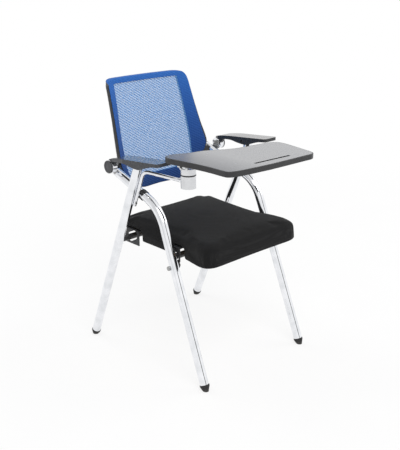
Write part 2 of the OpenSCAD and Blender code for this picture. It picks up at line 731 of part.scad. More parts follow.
leaf_screw_places = [for (x = [0.5, 0.85]) for (y = [-0.36, 0.36])
    [hinge_x + leaf_l * x, barrel_y + leaf_w * y]];
screw_reach = 9;
module tablet_screws() {
    color("gray") for (p = leaf_screw_places) translate([p[0], p[1], tablet_low_z - leaf_t]) {
        cylinder(d = screw_d - running_fit, h = leaf_t + screw_reach);
        translate([0, 0, -leaf_t / 3]) cylinder(d = screw_d * 1.7, h = leaf_t / 3);
    }
}

// Writing tablet, as shares of its width and length from its near front corner
tablet_x = -245;
tablet_y = -326;
tablet_outline_share = [[0.069, 0.076], [0.13, 0.042], [0.242, 0.029], [0.515, 0.016], [0.817, 0.005],
    [0.89, 0.005], [0.936, 0.05], [0.965, 0.219], [0.993, 0.418], [1, 0.513], [0.988, 0.595],
    [0.934, 0.639], [0.866, 0.657], [0.613, 0.696], [0.457, 0.783], [0.349, 0.869], [0.223, 0.905],
    [0.127, 0.968], [0.061, 0.975], [0.022, 0.94], [0.008, 0.877], [0.015, 0.803], [0.029, 0.657],
    [0.045, 0.52], [0.057, 0.316], [0.057, 0.141]];
tablet_steps = 3;
tablet_outline = [for (p = smooth_loop(tablet_outline_share, tablet_steps))
    [tablet_x + tablet_w * p[0], tablet_y + tablet_l * p[1]]];
groove_depth = 3;
groove_a = [-100, -287.6];
groove_b = [41, -293.6];
module tablet_groove() {
    run_xy = groove_b - groove_a;
    translate([groove_a[0], groove_a[1], tablet_z - groove_depth])
        rotate([0, 0, atan2(run_xy[1], run_xy[0])]) linear_extrude(groove_depth + overrun) {
            translate([0, -groove_w / 2]) square([norm(run_xy), groove_w]);
            circle(d = groove_w);
            translate([norm(run_xy), 0]) circle(d = groove_w);
        }
}
module tablet_board() {
    color("#b2b4b8") difference() {
        translate([0, 0, tablet_low_z]) linear_extrude(tablet_t) offset(delta = -edge_w)
            polygon(tablet_outline);
        tablet_groove();
        for (p = leaf_screw_places) translate([p[0], p[1], tablet_low_z - overrun])
            cylinder(d = screw_d, h = screw_reach + overrun);
    }
}
module tablet_edge() {
    color("#3a3b3f") difference() {
        translate([0, 0, tablet_low_z]) linear_extrude(tablet_t) polygon(tablet_outline);
        translate([0, 0, tablet_low_z - overrun]) linear_extrude(tablet_t + 2 * overrun)
            offset(delta = -edge_w) polygon(tablet_outline);
    }
}

// Seat cushion: rings from the lower edge over the rounded shoulder to the crown
seat_half_w = seat_ear_x - ear_plate_t - side_gap - side_gap;
seat_rear_y = seat_front_y + seat_l;
seat_shoulder_r = 20;
corner_steps = 5;
side_steps = 8;
function arc_points(c, r, a0, a1, steps) = [for (k = [0 : steps]) let (a = a0 + (a1 - a0) * k / steps)
    c + r * [cos(a), sin(a)]];
// Points between two places, drawn in towards the middle of the cushion
function drawn_side(a, b, inward, steps) = [for (k = [1 : steps - 1])
    a + (b - a) * k / steps + inward * seat_draw * sin(180 * k / steps)];
// Corner number k, counted from the rear left one, for a corner of radius r
function seat_corner(k, r, side, y) = arc_points([side * (seat_half_w - r), y], r, quarter * k,
    quarter * (k + 1), corner_steps);
seat_corners = [
    seat_corner(0, seat_rear_r, 1, seat_rear_y - seat_rear_r),
    seat_corner(1, seat_rear_r, -1, seat_rear_y - seat_rear_r),
    seat_corner(2, seat_front_r, -1, seat_front_y + seat_front_r),
    seat_corner(3, seat_front_r, 1, seat_front_y + seat_front_r)];
seat_inward = [[0, -1], [1, 0], [0, 1], [-1, 0]];
seat_outline = [for (i = [0 : 3]) each concat(seat_corners[i],
    drawn_side(seat_corners[i][corner_steps], seat_corners[(i + 1) % 4][0], seat_inward[i], side_steps))];
seat_middle = [0, (seat_front_y + seat_rear_y) / 2];
seat_top_z = seat_z + seat_side_h;
function inset(p, d) = let (v = p - seat_middle) seat_middle
    + [v[0] * (1 - d / seat_half_w), v[1] * (1 - 2 * d / seat_l)];
// The crown falls to nothing at the shoulder on all four sides
function crown_z(q) = let (u = q[0] / (seat_half_w - seat_shoulder_r),
    v = (q[1] - seat_middle[1]) / (seat_l / 2 - seat_shoulder_r))
    seat_top_z + seat_crown * max(0, 1 - u * u) * max(0, 1 - v * v);
shoulder_angles = [0, 25, 50, 72, 90];
seat_tuck = 4;
crown_share = [0.85, 0.68, 0.5, 0.3, 0.12];
module cushion_form() {
    n = len(seat_outline);
    low_rings = [[seat_tuck, seat_z], [seat_tuck * 0.25, seat_z + seat_tuck]];
    shoulder_rings = [for (a = shoulder_angles) [seat_shoulder_r * (1 - cos(a)),
        seat_top_z - seat_shoulder_r + seat_shoulder_r * sin(a)]];
    rims = [for (ring = concat(low_rings, shoulder_rings)) for (p = seat_outline)
        let (q = inset(p, ring[0])) [q[0], q[1], ring[1]]];
    crown = [for (s = crown_share) for (p = seat_outline)
        let (q = between(seat_middle, inset(p, seat_shoulder_r), s)) [q[0], q[1], crown_z(q)]];
    rings = len(low_rings) + len(shoulder_rings) + len(crown_share);
    points = concat(rims, crown, [[seat_middle[0], seat_middle[1], seat_top_z + seat_crown],
        [seat_middle[0], seat_middle[1], seat_z]]);
    polyhedron(points, concat(
        [for (k = [0 : n - 1]) [k, (k + 1) % n, rings * n + 1]],
        [for (r = [0 : rings - 2]) for (k = [0 : n - 1]) each quad(r, k, n)],
        [for (k = [0 : n - 1]) [(rings - 1) * n + k, rings * n, (rings - 1) * n + (k + 1) % n]]),
        convexity = 6);
}

skirt_w = 14;
hollow_z = 36;
roof_z = seat_z + hollow_z;
slot_travel = [-21, 11];
slot_r = cross_d / 2 + 5.5;
front_travel = [13.5, -5];
front_slot_r = cross_d / 2 + 3;
module seat_hollow() {
    translate([0, 0, seat_z - overrun]) linear_extrude(hollow_z + board_t + overrun)
        polygon([for (p = seat_outline) inset(p, skirt_w)]);
}
// Notches in the skirts, where the brackets and the cross tubes pass
notch_gap = 2;
rear_bracket_y = [rear_cross[0] + slot_travel[0] - slot_r - 8, rear_cross[0] + slot_r + 8];
front_bracket_y = [front_cross[0] - front_slot_r - 4, front_cross[0] + front_travel[0] + front_slot_r + 6];
module skirt_notch(span) {
    translate([-seat_half_w - overrun, span[0] - notch_gap, seat_z - overrun])
        cube([2 * (seat_half_w + overrun), span[1] - span[0] + 2 * notch_gap, hollow_z + overrun]);
}
module seat_cushion() {
    color("#2f3033") difference() {
        cushion_form();
        seat_hollow();
        skirt_notch(rear_bracket_y);
        skirt_notch(front_bracket_y);
    }
}

board_gap = 0.5;
module seat_board() {
    color("#8a6b48") difference() {
        translate([0, 0, roof_z]) linear_extrude(board_t)
            polygon([for (p = seat_outline) inset(p, skirt_w + board_gap)]);
        for (p = seat_screw_places) translate([p[0], p[1], roof_z - overrun])
            cylinder(d = screw_d, h = screw_bite + overrun);
    }
}

// Brackets under the seat: an upright plate outside the cushion and a flange under the board
flange_w = 44;
screw_bite = 7;
module flange(span) {
    both_sides() translate([seat_ear_x - flange_w, span[0], roof_z - ear_plate_t])
        cube([flange_w, span[1] - span[0], ear_plate_t]);
}
seat_screw_places = [for (span = [front_bracket_y, rear_bracket_y]) for (s = [-1, 1]) for (t = [0.2, 0.8])
    [s * (seat_ear_x - flange_w * 0.75), between(span[0], span[1], t)]];
module screw_holes(z, h) {
    for (p = seat_screw_places) translate([p[0], p[1], z - overrun])
        cylinder(d = screw_d, h = h + 2 * overrun);
}
slot_steps = 12;
module slot_profile(at, travel, r) {
    a = atan2(travel[1], travel[0]);
    polygon(concat(arc_points(at + travel, r, a - quarter, a + quarter, slot_steps),
        arc_points(at, r, a + quarter, a + 3 * quarter, slot_steps)));
}
module seat_front_brackets() {
    ear_low_r = pin_head_r + 3;
    front_strap = 2;
    color("#242426") difference() {
        union() {
            flange(front_bracket_y);
            both_sides() side(seat_ear_x - ear_plate_t, ear_plate_t) {
                translate([front_bracket_y[0], front_cross_z - front_slot_r - front_strap])
                    square([front_bracket_y[1] - front_bracket_y[0],
                        roof_z - front_cross_z + front_slot_r + front_strap]);
                translate(seat_pivot) circle(r = ear_low_r);
                translate([seat_pivot[0] - ear_low_r, seat_pivot[1]]) square([ear_low_r + ear_low_r,
                    front_cross_z - seat_pivot_z]);
            }
        }
        side(-rear_x, rear_track) slot_profile(front_cross, front_travel, front_slot_r);
        across(seat_pivot, -rear_x, rear_track, pin_d + running_fit);
        screw_holes(roof_z - ear_plate_t, ear_plate_t);
    }
}
module seat_rear_brackets() {
    strap = 6;
    color("#242426") difference() {
        union() {
            flange(rear_bracket_y);
            both_sides() side(seat_ear_x - ear_plate_t, ear_plate_t)
                translate([rear_bracket_y[0], rear_cross_z - slot_r - strap])
                    square([rear_bracket_y[1] - rear_bracket_y[0], roof_z - rear_cross_z + slot_r + strap]);
        }
        side(-rear_x, rear_track) slot_profile(rear_cross, slot_travel, slot_r);
        screw_holes(roof_z - ear_plate_t, ear_plate_t);
    }
}
module seat_screws() {
    color("gray") for (p = seat_screw_places) translate([p[0], p[1], roof_z - ear_plate_t]) {
        cylinder(d = screw_d - running_fit, h = ear_plate_t + screw_bite);
        translate([0, 0, -ear_plate_t / 3]) cylinder(d = screw_d * 1.7, h = ear_plate_t / 3);
    }
}

front_leg_right();
front_leg_left();
front_cross_tube();
frame_end_plugs();
front_glide_right();
front_glide_left();
stop_clips();
back_frame();
back_mesh();
back_screws();
arm_pivot_pins();
seat_pivot_bolts();
armrest_right();
armrest_left();
arm_cap_right();
arm_cap_left();
arm_pin_right();
arm_pin_left();
rear_leg_right();
rear_leg_left();
rear_leg_eyes();
rear_cross_tube();
rear_glide_right();
rear_glide_left();
tablet_rod();
rod_bolt();
swivel_sleeve();
swivel_ring();
swivel_barrel();
swivel_shaft();
tablet_hinge_pin();
tablet_hinge_leaf();
tablet_board();
tablet_edge();
tablet_screws();
seat_cushion();
seat_board();
seat_front_brackets();
seat_rear_brackets();
seat_screws();
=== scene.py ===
import bpy
import bmesh
import math
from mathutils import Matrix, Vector


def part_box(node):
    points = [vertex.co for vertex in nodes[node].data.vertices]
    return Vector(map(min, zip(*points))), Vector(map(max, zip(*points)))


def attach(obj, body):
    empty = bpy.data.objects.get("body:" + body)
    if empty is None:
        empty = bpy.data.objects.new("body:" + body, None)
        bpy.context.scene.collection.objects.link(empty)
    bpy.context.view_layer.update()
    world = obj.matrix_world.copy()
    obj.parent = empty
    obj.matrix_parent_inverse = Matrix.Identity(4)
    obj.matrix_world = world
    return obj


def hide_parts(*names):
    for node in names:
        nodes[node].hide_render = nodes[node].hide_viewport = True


# Folding school chair with a mesh back, an upholstered seat and a swivelling tablet.
# The sitter faces -Y, the sitter's right is -X and the floor is z = 0. Sizes are in mm
# where no comment says otherwise, and v3() turns them into the metres of the meshes.
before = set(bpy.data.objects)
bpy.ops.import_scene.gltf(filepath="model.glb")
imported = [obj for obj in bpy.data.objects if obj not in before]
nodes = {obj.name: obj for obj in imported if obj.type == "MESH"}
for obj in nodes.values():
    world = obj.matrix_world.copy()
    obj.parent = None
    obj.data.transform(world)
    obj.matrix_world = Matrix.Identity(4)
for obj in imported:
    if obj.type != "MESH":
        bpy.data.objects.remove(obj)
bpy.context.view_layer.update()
MM = 0.001

# Sizes repeated from the part's source. The legs' lower runs go LEAN mm along y for each mm
# up, and the front legs' upper runs go UPPER mm up for each mm back. CORNER is the point
# where the two runs would meet. The front legs near each other upwards by SPLAY and stand
# CROSS_X off the middle at CROSS_Z.
LEAN, UPPER = 0.405, 0.355
LEG_R, GLIDE_H, BEND_R = 14.0, 20.0, 120.0
FRONT_FOOT_Y, REAR_FOOT_Y, REAR_X = -222.1, 310.9, 237.5
CORNER_Y, CORNER_Z = -10.2, 523.2
SPLAY, CROSS_Z, CROSS_X = 0.0163, 557.0, 208.3
UPPER_END_Y = 224.4
ARM_PIVOT = (189.4, 618.06)
REAR_PIVOT_Z = 652.0
BACK_HALF_W, BACK_LOW, BACK_H = 189.7, 513.0, 350.0


def v3(x, y, z):
    return Vector((x, y, z)) * MM


def clamped(share):
    return max(0.0, min(1.0, share))


# ---------------------------------------------------------------- materials

def srgb(r, g, b):
    def lin(c):
        c = c / 255
        return c / 12.92 if c <= 0.04045 else ((c + 0.055) / 1.055) ** 2.4
    return (lin(r), lin(g), lin(b), 1.0)


class Nodes:
    """A node tree, with short names for the nodes that are used most."""

    def __init__(self, tree):
        self.tree = tree

    def node(self, kind, **settings):
        n = self.tree.nodes.new(kind)
        for key, value in settings.items():
            setattr(n, key, value)
        return n

    def feed(self, value, socket):
        """Link another node's output to a socket, or set a number or colour on it."""
        if isinstance(value, bpy.types.NodeSocket):
            self.tree.links.new(value, socket)
        else:
            socket.default_value = value

    def fed(self, n, *values):
        """Feed a node's inputs in their order."""
        for value, socket in zip(values, n.inputs):
            self.feed(value, socket)
        return n.outputs[0]

    def maths(self, operation, *values):
        return self.fed(self.node("ShaderNodeMath", operation=operation), *values)

    def spread(self, value, low, high, to_low, to_high):
        """Carry a value over from one range to another, held at both ends."""
        return self.fed(self.node("ShaderNodeMapRange"), value, low, high, to_low, to_high)

    def mixed_shaders(self, share, a, b):
        return self.fed(self.node("ShaderNodeMixShader"), share, a, b)

    def background(self, colour, strength):
        return self.fed(self.node("ShaderNodeBackground"), colour, strength)

    def part(self, vector, name):
        """One of a vector's coordinates."""
        n = self.node("ShaderNodeSeparateXYZ")
        self.feed(vector, n.inputs[0])
        return n.outputs[name]

    def ramp(self, value, *stops, interpolation="LINEAR"):
        """Colours at their places from 0 to 1."""
        n = self.node("ShaderNodeValToRGB")
        n.color_ramp.interpolation = interpolation
        elements = n.color_ramp.elements
        for i, (place, colour) in enumerate(stops):
            e = elements[i] if i < 2 else elements.new(place)
            e.position, e.color = place, colour
        return self.fed(n, value)

    def mixed(self, share, a, b):
        """From colour a to colour b by this share."""
        n = self.node("ShaderNodeMix", data_type="RGBA")
        self.feed(share, n.inputs["Factor"])
        self.feed(a, n.inputs[6])
        self.feed(b, n.inputs[7])
        return n.outputs[2]


class Look(Nodes):
    """A node material whose textures read the piece's own coordinates, in metres."""

    def __init__(self, name, rough=0.5, metal=0.0):
        self.mat = bpy.data.materials.new(name)
        self.mat.use_nodes = True
        super().__init__(self.mat.node_tree)
        self.shader = self.tree.nodes["Principled BSDF"]
        self.at = self.node("ShaderNodeTexCoord").outputs["Object"]
        self.put("Roughness", rough)
        self.put("Metallic", metal)

    def put(self, name, value):
        """Set or link an input of the material's shader."""
        self.feed(value, self.shader.inputs[name])

    def surface(self, shader):
        """Show this shader instead of the plain one."""
        self.feed(shader, self.tree.nodes["Material Output"].inputs["Surface"])

    def axis(self, name):
        return self.part(self.at, name)

    def noise(self, scale, detail=2.0, rough=0.5):
        n = self.node("ShaderNodeTexNoise")
        n.inputs["Scale"].default_value = scale
        n.inputs["Detail"].default_value = detail
        n.inputs["Roughness"].default_value = rough
        self.feed(self.at, n.inputs["Vector"])
        return n.outputs["Fac"]

    def wave(self, scale, axis, distortion, stretch=None):
        """Bands across an axis. A stretch scales the coordinates along x, y and z."""
        n = self.node("ShaderNodeTexWave", bands_direction=axis)
        n.inputs["Scale"].default_value = scale
        n.inputs["Distortion"].default_value = distortion
        n.inputs["Detail"].default_value = 1.0
        at = self.at
        if stretch:
            mapping = self.node("ShaderNodeMapping")
            mapping.inputs["Scale"].default_value = stretch
            at = self.fed(mapping, at)
        self.feed(at, n.inputs["Vector"])
        return n.outputs["Fac"]

    def wander(self, noise, low, high):
        """A number that follows a noise, most of which lies between 0.3 and 0.7."""
        return self.spread(noise, 0.3, 0.7, low, high)

    def tones(self, noise, low, high):
        """An sRGB colour that follows a noise in the same way."""
        return self.ramp(noise, (0.3, srgb(*low)), (0.7, srgb(*high)))

    def bump(self, *layers):
        """Layers of (height, strength, distance in metres), from the coarsest to the finest."""
        last = None
        for height, strength, distance in layers:
            n = self.node("ShaderNodeBump")
            n.inputs["Strength"].default_value = strength
            n.inputs["Distance"].default_value = distance
            self.feed(height, n.inputs["Height"])
            if last is not None:
                self.feed(last, n.inputs["Normal"])
            last = n.outputs["Normal"]
        self.put("Normal", last)


def metal_look(name, low, high, rough, scratch=0.02, grain=900):
    """Metal between two sRGB tones and two values of roughness."""
    k = Look(name, metal=1.0)
    k.put("Base Color", k.tones(k.noise(35, 3), low, high))
    k.put("Roughness", k.wander(k.noise(140, 4, 0.7), *rough))
    k.bump((k.noise(grain, 2), scratch, 0.0002))
    return k.mat


def plastic_look(name, low, high, rough, grain, depth, worn, coat_ior=None):
    """Plastic or paint between two sRGB tones, with grain of some depth and worn edges.

    With a coat_ior, the surfaces that face upwards have a glossy coat.
    """
    k = Look(name)
    geometry = k.node("ShaderNodeNewGeometry").outputs
    edge = k.maths("MULTIPLY", k.spread(geometry["Pointiness"], 0.52, 0.58, 0.0, 0.5),
                   k.noise(240, 3))
    k.put("Base Color", k.mixed(edge, k.tones(k.noise(28, 4, 0.6), low, high), srgb(*worn)))
    k.put("Roughness", k.wander(k.noise(90, 3), *rough))
    k.bump((k.noise(grain, 3, 0.6), depth, 0.0003))
    if coat_ior:
        k.put("Coat Weight", k.spread(k.part(geometry["Normal"], "Z"), 0.75, 0.95, 0.0, 1.0))
        k.put("Coat Roughness", 0.16)
        k.put("Coat IOR", coat_ior)
    return k.mat


chrome = metal_look("chrome_tube", (226, 228, 231), (243, 244, 247), (0.05, 0.1))
rod_chrome = metal_look("chrome_rod", (226, 227, 230), (242, 243, 246), (0.07, 0.14))
zinc = metal_look("zinc_steel", (150, 151, 152), (184, 184, 182), (0.26, 0.44), 0.05)
alloy = metal_look("satin_alloy", (206, 207, 209), (222, 223, 225), (0.13, 0.2), 0.015, 1800)
black_steel = plastic_look("black_powder_coat", (22, 22, 24), (32, 32, 34), (0.34, 0.5),
                           700, 0.2, (70, 70, 72))
black_plastic = plastic_look("black_plastic", (24, 25, 27), (34, 35, 37), (0.36, 0.52),
                             1500, 0.15, (62, 62, 64))
arm_plastic = plastic_look("armrest_plastic", (44, 46, 50), (54, 57, 62), (0.22, 0.32),
                           1800, 0.08, (92, 95, 100), coat_ior=1.6)
# Painted shade: the far armrest is the same plastic as the near one, in darker tones so that it
# shows darker, and with a stronger coat for a brighter shine along its top
shaded_far_plastic = plastic_look("shaded_far_armrest_plastic", (28, 29, 31), (36, 37, 40), (0.34, 0.44),
                           1800, 0.08, (72, 74, 78), coat_ior=2.2)
cap_plastic = plastic_look("cap_plastic", (50, 51, 54), (62, 63, 67), (0.26, 0.38),
                           1800, 0.08, (104, 106, 110))
edge_plastic = plastic_look("tablet_edging", (30, 30, 32), (40, 40, 42), (0.34, 0.46),
                            1600, 0.08, (64, 65, 68))


def rubber_look():
    k = Look("glide_rubber")
    # dust from the floor on the lowest 12 mm
    dust = k.maths("MULTIPLY", k.spread(k.axis("Z"), 0.0, 0.012, 0.75, 0.0),
                   k.noise(420, 4, 0.7))
    base = k.tones(k.noise(60, 3), (22, 22, 23), (34, 34, 35))
    k.put("Base Color", k.mixed(dust, base, srgb(96, 93, 88)))
    k.put("Roughness", k.wander(k.noise(160, 2), 0.62, 0.82))
    k.bump((k.noise(900, 3), 0.25, 0.0003))
    return k.mat


# Heights in metres between which the tablet's surface turns black inside its pen slot, and
# places along x between which its end beside the armrest is darker, a painted reflection
SLOT_Z = (0.6971, 0.6977)
PAINTED_REFLECTION_X = (-0.235, -0.1)


def laminate_look():
    k = Look("tablet_laminate")
    top = k.ramp(k.noise(1500, 2, 0.7), (0.36, srgb(136, 137, 140)), (0.62, srgb(154, 155, 157)))
    top = k.mixed(k.wander(k.noise(9, 3), 0.0, 0.35), top, srgb(148, 149, 152))
    # painted reflection: the end beside the armrest is darker and bluer
    top = k.mixed(k.spread(k.axis("X"), *PAINTED_REFLECTION_X, 0.85, 0.0), top, srgb(64, 67, 76))
    top = k.mixed(k.spread(k.axis("Z"), *SLOT_Z, 1.0, 0.0), top, srgb(24, 24, 26))
    k.put("Base Color", top)
    k.put("Roughness", k.wander(k.noise(55, 4, 0.65), 0.2, 0.28))
    k.bump((k.noise(2200, 3, 0.6), 0.07, 0.0002))
    k.put("Coat Weight", 0.15)
    k.put("Coat Roughness", 0.25)
    return k.mat


# Threads of the seat's cloth: bands to the metre, and how far they waver
THREAD, WAVER = 190, 1.2


def seat_look():
    k = Look("seat_fabric", rough=0.9)
    warp, weft, rise = (k.wave(THREAD, axis, WAVER) for axis in "XYZ")
    weave = k.maths("MULTIPLY", k.maths("ADD", warp, rise), weft)
    tone = k.ramp(weave, (0.1, srgb(13, 13, 14)), (0.9, srgb(22, 22, 23)))
    tone = k.mixed(k.spread(k.noise(14, 4), 0.35, 0.7, 0.0, 0.3), tone, srgb(25, 25, 26))
    lint = k.spread(k.noise(2600, 2), 0.5, 0.75, 0.0, 0.5)
    k.put("Base Color", k.mixed(lint, tone, srgb(34, 34, 35)))
    k.bump((k.noise(45, 3), 0.12, 0.002), (weave, 0.35, 0.0006), (k.noise(2400, 2), 0.3, 0.0003))
    k.put("Sheen Weight", 0.07)
    k.put("Sheen Roughness", 0.5)
    k.put("Specular IOR Level", 0.2)
    return k.mat


# The back's mesh: pitch in metres and slant of its small holes, of the knit's ribs, and of
# the bands that break the ribs into beads
MESH_PITCH, MESH_SLANT = 0.0034, 1.4
RIB_PITCH, RIB_SLANT = 0.009, 0.645
BEAD_PITCH, BEAD_SLANT = RIB_PITCH * 0.9, -0.9
# The knit's relief goes up and down by RELIEF_H. A hole is open above HOLE_LEVEL, and this
# share of the relief makes it wider or narrower.
RELIEF_H, RELIEF_SHARE, HOLE_LEVEL = 1.2, 0.24, 0.46


def slanted(k, share, pitch):
    """Waves in the plane of the back, which fall to one side by this share of their run."""
    run = k.maths("ADD", k.axis("Z"), k.maths("MULTIPLY", k.axis("X"), share))
    return k.maths("SINE", k.maths("MULTIPLY", run, 2 * math.pi / pitch))


def mesh_look():
    """Open mesh where the cover's attribute "window" is 1, and closed cloth where it is 0."""
    k = Look("back_mesh_fabric", rough=0.75)
    lattice = k.maths("MULTIPLY", slanted(k, MESH_SLANT, MESH_PITCH),
                      slanted(k, -MESH_SLANT, MESH_PITCH))
    rib = slanted(k, RIB_SLANT, RIB_PITCH)
    bead = k.maths("MULTIPLY", rib, slanted(k, BEAD_SLANT, BEAD_PITCH))
    relief = k.maths("ADD", k.maths("MULTIPLY", rib, 0.7), k.maths("MULTIPLY", bead, 0.5))
    window = k.node("ShaderNodeAttribute", attribute_name="window").outputs["Fac"]
    thread = k.ramp(k.spread(relief, -RELIEF_H, RELIEF_H, 0.0, 1.0),
                    (0.15, srgb(50, 102, 172)), (0.85, srgb(118, 168, 214)))
    # painted shade: the closed border is darker towards its lower end
    solid = k.ramp(k.spread(k.axis("Z"), 0.52, 0.86, 0.0, 1.0),
                   (0.0, srgb(12, 40, 92)), (0.3, srgb(18, 56, 122)),
                   (0.62, srgb(28, 76, 150)), (0.95, srgb(34, 92, 170)))
    solid = k.mixed(k.spread(relief, -RELIEF_H, RELIEF_H, 0.0, 0.3), solid, srgb(74, 122, 190))
    k.put("Base Color", k.mixed(window, solid, thread))
    k.bump((relief, 0.35, 0.0006), (k.noise(1800, 2), 0.2, 0.0003))
    k.put("Sheen Weight", 0.04)
    k.put("Sheen Roughness", 0.4)
    k.put("Specular IOR Level", 0.2)
    level = k.maths("ADD", lattice, k.maths("MULTIPLY", relief, RELIEF_SHARE))
    hole = k.maths("GREATER_THAN", level, HOLE_LEVEL)
    clear = k.node("ShaderNodeBsdfTransparent").outputs[0]
    k.surface(k.mixed_shaders(k.maths("MULTIPLY", hole, window), k.shader.outputs[0], clear))
    return k.mat


def wood_look():
    k = Look("seat_plywood")
    grain = k.wave(16, "X", 6.0, stretch=(1, 0.12, 1))
    k.put("Base Color", k.ramp(grain, (0.1, srgb(128, 96, 62)), (0.9, srgb(176, 142, 100))))
    k.put("Roughness", k.wander(k.noise(50, 3), 0.55, 0.75))
    k.bump((grain, 0.15, 0.0005), (k.noise(700, 3), 0.15, 0.0003))
    return k.mat


rubber = rubber_look()
laminate = laminate_look()
seat_cloth = seat_look()
mesh_cloth = mesh_look()
plywood = wood_look()


# ---------------------------------------------------------------- mesh tools

# On pieces made here and on CAD nodes: the angle in degrees above which an edge stays crisp,
# and the distance in metres below which two points are one
CRISP, CAD_CRISP = 35, 32
SAME_POINT, CAD_SAME_POINT = 1e-6, 1e-5
# Radius in mm that a lathe's ends keep at the axis
AXIS_R = 0.01


def linked(name, data):
    ob = bpy.data.objects.new(name, data)
    bpy.context.scene.collection.objects.link(ob)
    return ob


def clean(me, reach):
    """Merge the points within reach, in metres, and turn all faces outwards."""
    bm = bmesh.new()
    bm.from_mesh(me)
    bmesh.ops.remove_doubles(bm, verts=bm.verts, dist=reach)
    bmesh.ops.recalc_face_normals(bm, faces=bm.faces)
    bm.to_mesh(me)
    bm.free()


def shade_smooth(me):
    for p in me.polygons:
        p.use_smooth = True


def shade_crisp(me, angle):
    """Smooth shading with edges sharper than the angle kept crisp."""
    shade_smooth(me)
    bm = bmesh.new()
    bm.from_mesh(me)
    for e in bm.edges:
        sharp = len(e.link_faces) == 2 and e.calc_face_angle(0) > math.radians(angle)
        e.smooth = not sharp
    bm.to_mesh(me)
    bm.free()


def make(name, verts, faces, look, body, angle=CRISP):
    me = bpy.data.meshes.new(name)
    me.from_pydata([tuple(p) for p in verts], [], faces)
    clean(me, SAME_POINT)
    me.materials.append(look)
    shade_crisp(me, angle)
    ob = linked(name, me)
    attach(ob, body)
    return ob


def weld(ob):
    ob.modifiers.new("weld", "WELD").merge_threshold = CAD_SAME_POINT


def bevel(ob, width, segments, angle):
    m = ob.modifiers.new("bevel", "BEVEL")
    m.width, m.segments = width * MM, segments
    m.limit_method, m.angle_limit = "ANGLE", math.radians(angle)


def apply_all(ob):
    dg = bpy.context.evaluated_depsgraph_get()
    me = bpy.data.meshes.new_from_object(ob.evaluated_get(dg))
    ob.modifiers.clear()
    ob.data = me


def turns(sides):
    return [2 * math.pi * k / sides for k in range(sides)]


def bands(n, count, loop=False):
    """Faces between neighbours among this count of rings of n points."""
    faces = []
    for r in range(count if loop else count - 1):
        q = (r + 1) % count
        for k in range(n):
            m = (k + 1) % n
            faces.append((r * n + k, r * n + m, q * n + m, q * n + k))
    return faces


def skin(rings, loop=False):
    """Skin over rings of equal length, with end faces or closed from the last to the first."""
    n, count = len(rings[0]), len(rings)
    faces = bands(n, count, loop)
    if not loop:
        faces.append(tuple(range(n - 1, -1, -1)))
        faces.append(tuple((count - 1) * n + k for k in range(n)))
    return [p for r in rings for p in r], faces


def sweep(path, r, sides=48):
    """Round bar along a path, with an even frame so that the skin doesn't twist."""
    side = None
    rings = []
    last = len(path) - 1
    for i, p in enumerate(path):
        way = (path[min(i + 1, last)] - path[max(i - 1, 0)]).normalized()
        if side is None:
            side = way.orthogonal().normalized()
        side = (side - way * side.dot(way)).normalized()
        other = way.cross(side)
        rings.append([p + side * r * math.cos(a) + other * r * math.sin(a)
                      for a in turns(sides)])
    return skin(rings)


def lathe(profile, centre, sides=64):
    """Solid of revolution about x: profile is (radius, distance along the axis) in mm."""
    axis = Vector((1, 0, 0))
    side = axis.orthogonal().normalized()
    other = axis.cross(side)
    return skin([[centre + axis * h * MM
                  + (side * math.cos(a) + other * math.sin(a)) * max(r, AXIS_R) * MM
                  for a in turns(sides)] for r, h in profile])


def plate(outline, x, t):
    """Outline in (y, z), in mm, from x to x + t."""
    n = len(outline)
    verts = [v3(x, y, z) for y, z in outline] + [v3(x + t, y, z) for y, z in outline]
    faces = [tuple(range(n - 1, -1, -1)), tuple(range(n, 2 * n))]
    faces += [(k, (k + 1) % n, n + (k + 1) % n, n + k) for k in range(n)]
    return verts, faces


def both(name, verts, faces, look, body, left_body=None):
    """The piece on the sitter's left, and its mirror image on the right."""
    flipped = [Vector((-p[0], p[1], p[2])) for p in verts]
    return (make(name + "_left", verts, faces, look, left_body or body),
            make(name + "_right", flipped, faces, look, body))


def curve_points(pts, steps):
    """Smooth curve through points, as in the part's source."""
    out = []
    last = len(pts) - 1
    for i in range(last):
        a, b, c, d = (Vector(pts[j]) for j in (max(i - 1, 0), i, i + 1, min(i + 2, last)))
        for s in range(steps):
            t = s / steps
            out.append(0.5 * ((2 * b) + (c - a) * t + (2 * a - 5 * b + 4 * c - d) * t * t
                              + (3 * b - a - 3 * c + d) * t ** 3))
    return out + [Vector(pts[last])]


def reworked(node, move, look, body):
    """A node's mesh again, with its points moved by a function of x, y and z in mm."""
    me = nodes[node].data.copy()
    for vert in me.vertices:
        vert.co = v3(*move(*(c / MM for c in vert.co)))
    me.materials.clear()
    me.materials.append(look)
    ob = linked(node + "_shape", me)
    weld(ob)
    apply_all(ob)
    shade_crisp(ob.data, CAD_CRISP)
    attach(ob, body)
    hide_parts(node)
    return ob


# ---------------------------------------------------------------- chrome frame

# Steps along the front leg's lower run, its bend and its upper run
RUN_STEPS, BEND_STEPS, UPPER_STEPS = 10, 24, 6


